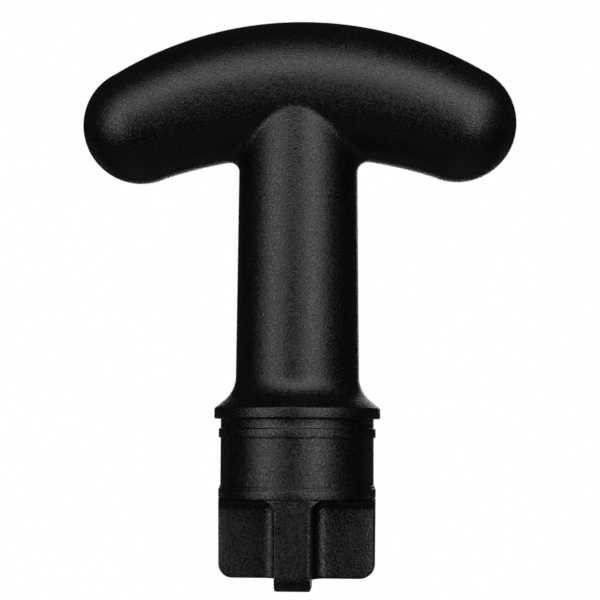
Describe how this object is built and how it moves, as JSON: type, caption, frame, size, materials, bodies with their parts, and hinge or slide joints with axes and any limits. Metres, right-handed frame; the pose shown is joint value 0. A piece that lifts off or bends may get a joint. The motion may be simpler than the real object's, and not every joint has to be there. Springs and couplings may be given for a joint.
{
  "type": "paddle t-grip",
  "caption": "T-shaped paddle grip moulded in one piece: curved crossbar for the palm, round neck, collar that seats on the shaft's end, and a ringed plug with crossed fins that fits inside the shaft.",
  "frame": {"origin": "on the axis of the neck and plug, in the plane of the collar's underside, which rests on the end of the shaft", "axes": "+Z along the shaft's axis, from the collar up the neck to the crossbar; X along the crossbar; the front fin, which has the tongue, points along -Y"},
  "size_m": [0.101, 0.038, 0.1301],
  "materials": {
    "grip": "fine even grain, matt black"
  },
  "bodies": {
    "root": {"grip": "grip"}
  },
  "joints": []
}
